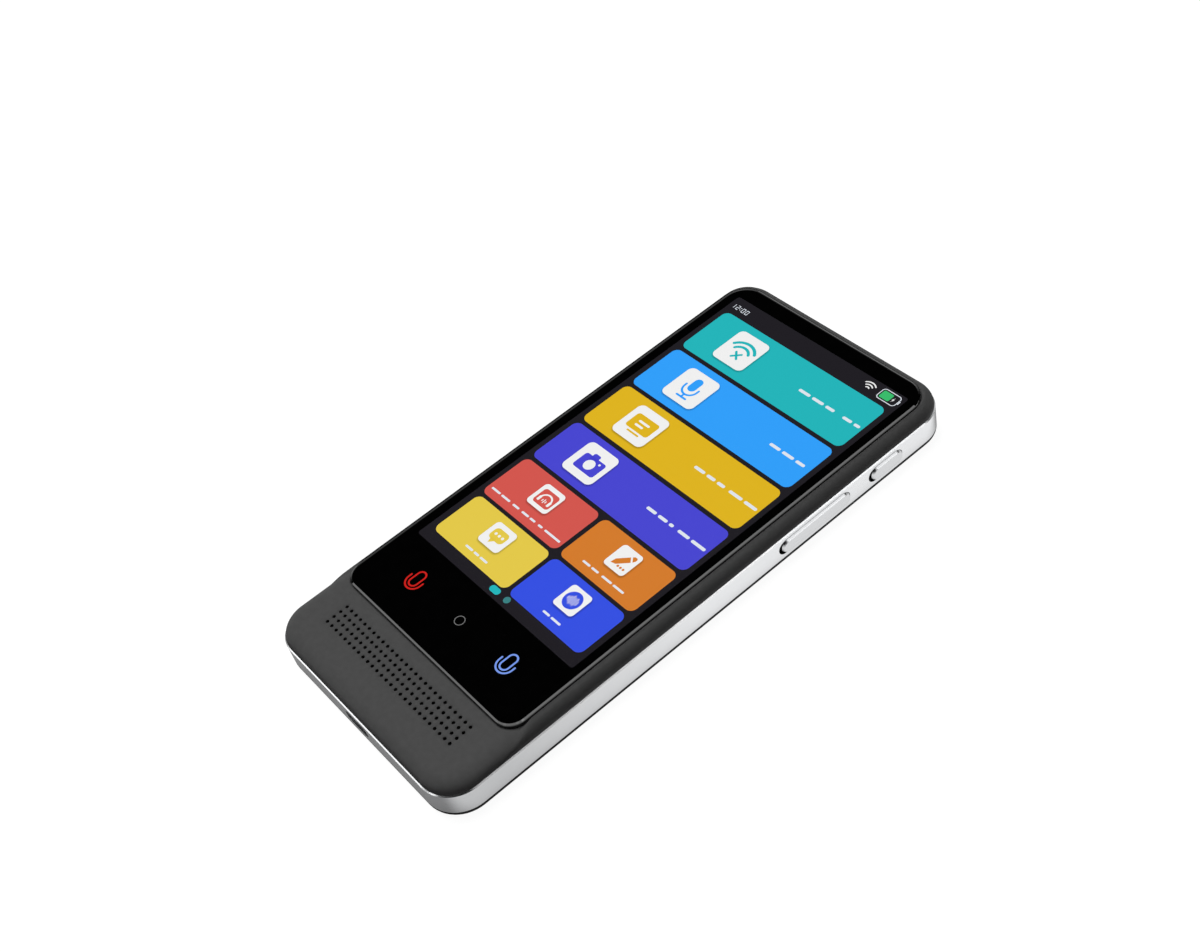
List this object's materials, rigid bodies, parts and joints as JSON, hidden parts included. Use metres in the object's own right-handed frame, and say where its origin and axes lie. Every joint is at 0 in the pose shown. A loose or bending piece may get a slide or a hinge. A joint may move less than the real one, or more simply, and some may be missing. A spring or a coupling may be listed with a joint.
{
  "type": "handheld translator",
  "caption": "Handheld voice translator: slab with a glass front, grille chin, metal side band, two side keys and a charging port.",
  "frame": {"origin": "middle of the flat back, on the plane that the device rests on", "axes": "+X towards the side with the keys, +Y towards the end away from the sound grille, +Z out of the screen"},
  "size_m": [0.0748, 0.1612, 0.0128],
  "materials": {
    "adhesive_foam": "foam tape",
    "back_plastic": "matt black",
    "band_metal": "satin silver, anodised",
    "battery_pouch": "laminated pouch",
    "black_glass": "polished, printed black from behind",
    "camera_plastic": "moulded",
    "chassis_metal": "plain sheet",
    "circuit_board": "solder mask",
    "display_panel": "bonded to the cover glass",
    "flash_plastic": "clear lens",
    "flex_film": "amber film",
    "key_metal": "satin silver, anodised",
    "lens_glass": "polished",
    "light_guide": "diffusing",
    "mesh_fabric": "woven dust mesh",
    "port_plastic": "moulded",
    "port_steel": "stamped",
    "rubber_boot": "moulded",
    "screw_steel": "plated",
    "shell_plastic": "fine matt charcoal",
    "shield_metal": "plain sheet",
    "speaker_plastic": "moulded"
  },
  "bodies": {
    "casing": {"back_cover": "back_plastic", "battery": "battery_pouch", "battery_tape_1": "adhesive_foam", "battery_tape_2": "adhesive_foam", "board_flex": "flex_film", "board_screw_1": "screw_steel", "board_screw_2": "screw_steel", "board_screw_3": "screw_steel", "board_screw_4": "screw_steel", "camera_module": "camera_plastic", "camera_window": "lens_glass", "chassis": "chassis_metal", "chassis_screw_1": "screw_steel", "chassis_screw_2": "screw_steel", "chassis_screw_3": "screw_steel", "chassis_screw_4": "screw_steel", "chassis_screw_5": "screw_steel", "chassis_screw_6": "screw_steel", "cover_glass": "black_glass", "display_flex": "flex_film", "display_module": "display_panel", "dome_switch_1": "port_steel", "dome_switch_2": "port_steel", "dome_switch_3": "port_steel", "flash_lens": "flash_plastic", "front_shell": "shell_plastic", "glass_adhesive": "adhesive_foam", "key_light_guide_1": "light_guide", "key_light_guide_2": "light_guide", "key_light_guide_3": "light_guide", "mainboard": "circuit_board", "microphone_1": "rubber_boot", "microphone_2": "rubber_boot", "mid_frame": "band_metal", "shield_can_1": "shield_metal", "shield_can_2": "shield_metal", "side_key_bracket": "shield_metal", "side_key_flex": "flex_film", "speaker": "speaker_plastic", "speaker_gasket": "adhesive_foam", "speaker_mesh": "mesh_fabric", "sub_board": "circuit_board", "sub_board_screw_1": "screw_steel", "sub_board_screw_2": "screw_steel", "touch_key_film": "flex_film", "usb_port_shell": "port_steel", "usb_port_tongue": "port_plastic", "wifi_antenna": "flex_film"},
    "power_key": {"power_key": "key_metal"},
    "volume_key": {"volume_key": "key_metal"}
  },
  "joints": [
    {"name": "power_press", "type": "slide", "parent": "casing", "child": "power_key", "axis": [-1, 0, 0], "range_m": [0, 0.0003], "stiffness_N_per_m": 2000},
    {"name": "volume_rock", "type": "hinge", "parent": "casing", "child": "volume_key", "pos_m": [0.03427, 0.03227, 0.00525], "axis": [0, 0, 1], "range_deg": [-1.2, 1.2], "stiffness_Nm_per_rad": 0.5}
  ]
}
